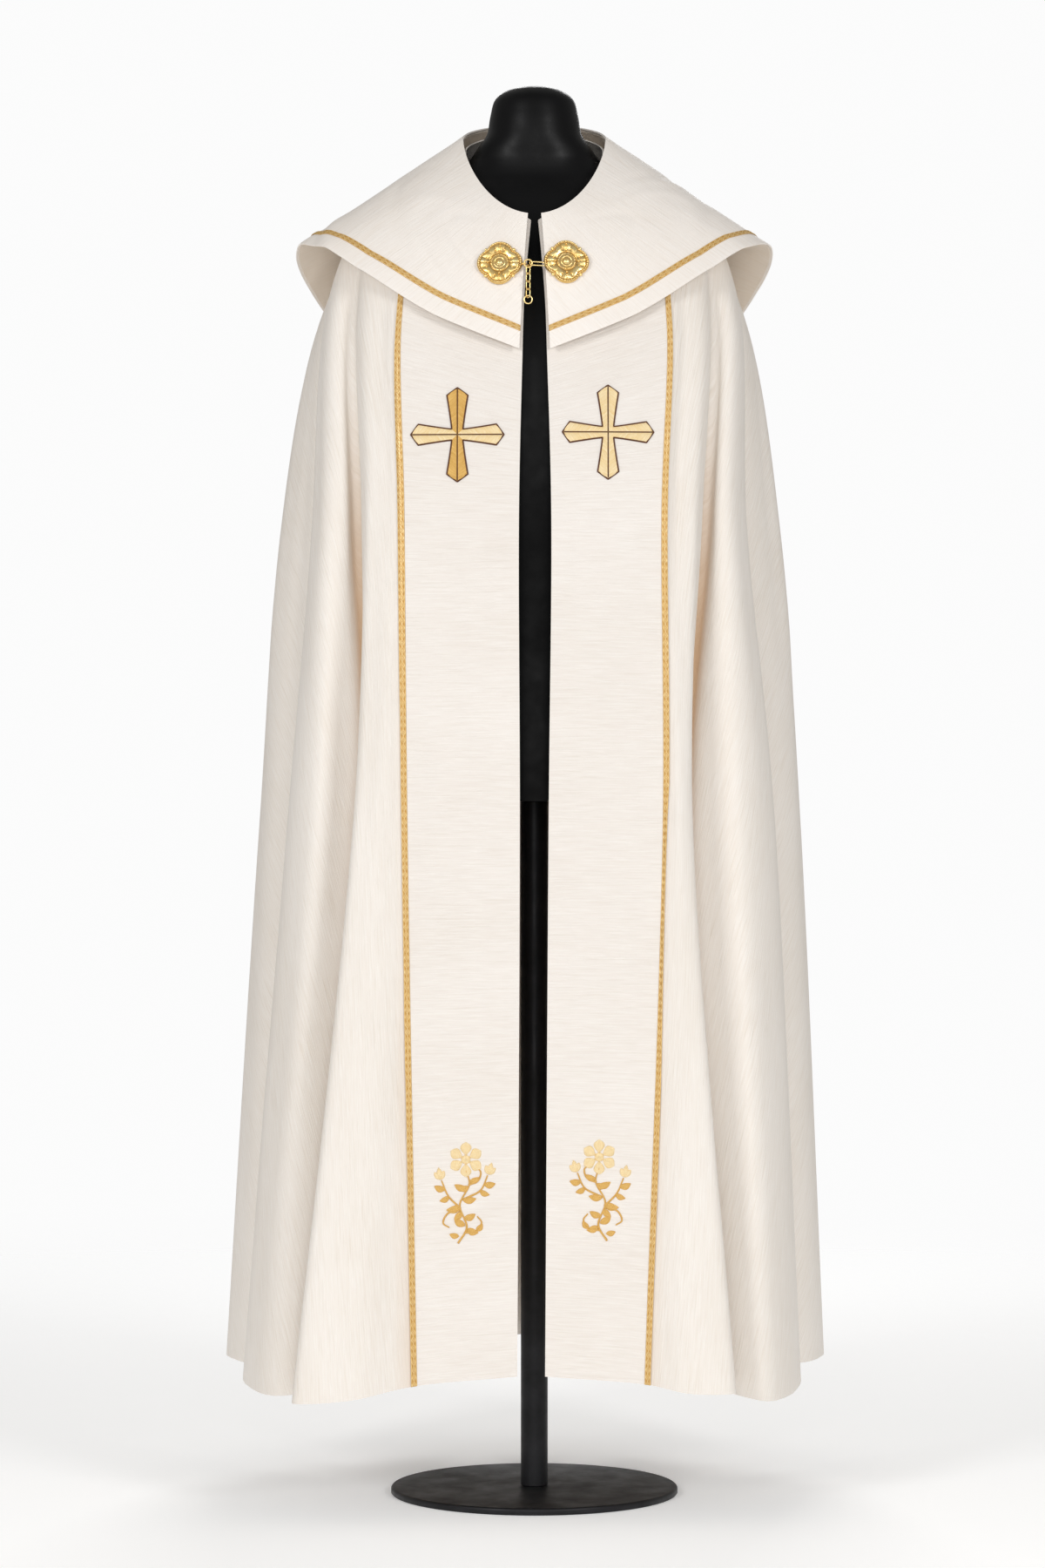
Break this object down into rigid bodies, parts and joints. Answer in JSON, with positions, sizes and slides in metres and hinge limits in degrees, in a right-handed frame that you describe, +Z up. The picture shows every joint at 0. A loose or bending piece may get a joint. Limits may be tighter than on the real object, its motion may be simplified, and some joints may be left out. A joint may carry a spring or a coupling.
{
  "type": "cope vestment on dress form",
  "caption": "Half-circle ceremonial cope with front bands, shoulder cape, gold braid, embroidered crosses and a gilt clasp with a chain tail, hanging in deep folds on a limbless dress form.",
  "frame": {"origin": "middle of the underside of the round base, on the floor", "axes": "+Z up, the cope's open front faces -Y, +X is to the right of someone facing it"},
  "size_m": [0.7268, 0.6126, 1.666],
  "materials": {
    "ivory_cloth": "satin slubbed weave",
    "beige_lining": "smooth satin lining",
    "gold_braid": "woven metallic thread",
    "gold_stitch": "satin stitch thread",
    "gilt_metal": "polished cast relief",
    "black_cover": "smooth satin leather cover",
    "black_steel": "satin powder coat"
  },
  "bodies": {
    "root": {"mantle": "ivory_cloth", "orphrey_left": "ivory_cloth", "orphrey_right": "ivory_cloth", "capelet": "ivory_cloth", "capelet_lining": "beige_lining", "orphrey_braid_left": "gold_braid", "orphrey_braid_right": "gold_braid", "capelet_braid": "gold_braid", "rosette_left": "gilt_metal", "rosette_right": "gilt_metal", "clasp_ring": "gilt_metal", "form_torso": "black_cover", "form_pole": "black_steel", "form_base": "black_steel"},
    "tail_1": {"tail_link_1": "gilt_metal"},
    "tail_2": {"tail_link_2": "gilt_metal"},
    "tail_3": {"tail_link_3": "gilt_metal"},
    "tail_4": {"tail_link_4": "gilt_metal"},
    "tail_ring": {"tail_end_ring": "gilt_metal"}
  },
  "joints": [
    {"name": "link_1_swing", "type": "hinge", "parent": "root", "child": "tail_1", "pos_m": [-0.0075, -0.1505, 1.4355], "axis": [-1, 0, 0], "range_deg": [0, 30]},
    {"name": "link_2_swing", "type": "hinge", "parent": "tail_1", "child": "tail_2", "pos_m": [-0.0075, -0.1505, 1.42745], "axis": [-0.7071, -0.7071, 0], "range_deg": [0, 30]},
    {"name": "link_3_swing", "type": "hinge", "parent": "tail_2", "child": "tail_3", "pos_m": [-0.0075, -0.1505, 1.41845], "axis": [-0.7071, 0.7071, 0], "range_deg": [0, 30]},
    {"name": "link_4_swing", "type": "hinge", "parent": "tail_3", "child": "tail_4", "pos_m": [-0.0075, -0.1505, 1.40945], "axis": [-0.7071, -0.7071, 0], "range_deg": [0, 30]},
    {"name": "end_ring_swing", "type": "hinge", "parent": "tail_4", "child": "tail_ring", "pos_m": [-0.0075, -0.1505, 1.40045], "axis": [-0.7071, 0.7071, 0], "range_deg": [0, 20]}
  ]
}
